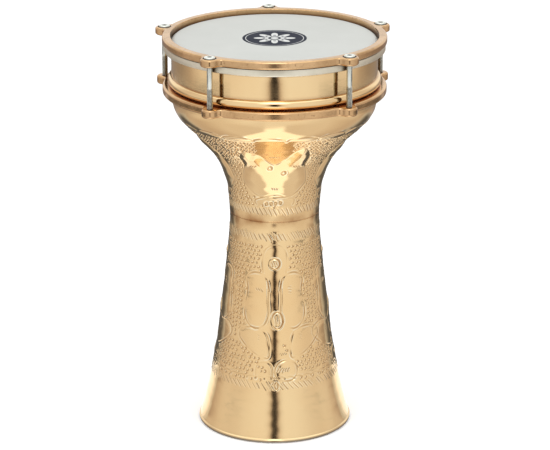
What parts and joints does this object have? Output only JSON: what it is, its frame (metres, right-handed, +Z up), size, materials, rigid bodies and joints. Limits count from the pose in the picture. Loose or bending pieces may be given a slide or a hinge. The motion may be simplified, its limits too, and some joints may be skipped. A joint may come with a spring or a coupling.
{
  "type": "goblet drum",
  "caption": "Goblet drum with an engraved copper shell, a flared foot, a cast counter hoop with tension screws and a film head.",
  "frame": {"origin": "on the drum's axis, in the plane that the foot's rim stands on", "axes": "+Z up along the drum's axis towards the head; +Y points away from the side shown in front"},
  "size_m": [0.2281, 0.2276, 0.3956],
  "materials": {
    "engraved_copper": "polished",
    "plain_copper": "polished",
    "cast_brass": "satin",
    "braze": "satin",
    "steel_wire": "satin",
    "plated_steel": "polished",
    "channel_aluminium": "satin",
    "resin": "satin",
    "drum_skin": "satin"
  },
  "bodies": {
    "shell": {"shell_stem": "engraved_copper", "foot_wire": "steel_wire", "waist_braze": "braze", "shell_bowl": "engraved_copper", "shell_collar": "plain_copper", "stop_ring": "plain_copper", "lower_hoop": "cast_brass"},
    "upper_hoop": {"upper_hoop": "cast_brass", "washer_1": "plated_steel", "washer_2": "plated_steel", "washer_3": "plated_steel", "washer_4": "plated_steel", "washer_5": "plated_steel"},
    "drumhead": {"head_film": "drum_skin", "flesh_hoop": "channel_aluminium", "flesh_hoop_resin": "resin"},
    "screw_1": {"tension_screw_1": "plated_steel"},
    "screw_2": {"tension_screw_2": "plated_steel"},
    "screw_3": {"tension_screw_3": "plated_steel"},
    "screw_4": {"tension_screw_4": "plated_steel"},
    "screw_5": {"tension_screw_5": "plated_steel"}
  },
  "joints": [
    {"name": "hoop_travel", "type": "slide", "parent": "shell", "child": "upper_hoop", "axis": [0, 0, 1], "range_m": [0, 0.006]},
    {"name": "head_travel", "type": "slide", "parent": "shell", "child": "drumhead", "axis": [0, 0, 1], "range_m": [0, 0.0015]},
    {"name": "screw_1_turn", "type": "hinge", "parent": "upper_hoop", "child": "screw_1", "pos_m": [0.10325, 0.03964, 0.394], "axis": [0, 0, 1], "range_deg": [0, 2160]},
    {"name": "screw_2_turn", "type": "hinge", "parent": "upper_hoop", "child": "screw_2", "pos_m": [-0.00579, 0.11045, 0.394], "axis": [0, 0, 1], "range_deg": [0, 2160]},
    {"name": "screw_3_turn", "type": "hinge", "parent": "upper_hoop", "child": "screw_3", "pos_m": [-0.10683, 0.02863, 0.394], "axis": [0, 0, 1], "range_deg": [0, 2160]},
    {"name": "screw_4_turn", "type": "hinge", "parent": "upper_hoop", "child": "screw_4", "pos_m": [-0.06024, -0.09276, 0.394], "axis": [0, 0, 1], "range_deg": [0, 2160]},
    {"name": "screw_5_turn", "type": "hinge", "parent": "upper_hoop", "child": "screw_5", "pos_m": [0.0696, -0.08595, 0.394], "axis": [0, 0, 1], "range_deg": [0, 2160]}
  ],
  "couplings": [
    {"joint": "head_travel", "follows": "hoop_travel", "ratio": 0.25},
    {"joint": "screw_1_turn", "follows": "hoop_travel", "rad_per_m": 6283.1},
    {"joint": "screw_2_turn", "follows": "hoop_travel", "rad_per_m": 6283.1},
    {"joint": "screw_3_turn", "follows": "hoop_travel", "rad_per_m": 6283.1},
    {"joint": "screw_4_turn", "follows": "hoop_travel", "rad_per_m": 6283.1},
    {"joint": "screw_5_turn", "follows": "hoop_travel", "rad_per_m": 6283.1}
  ]
}
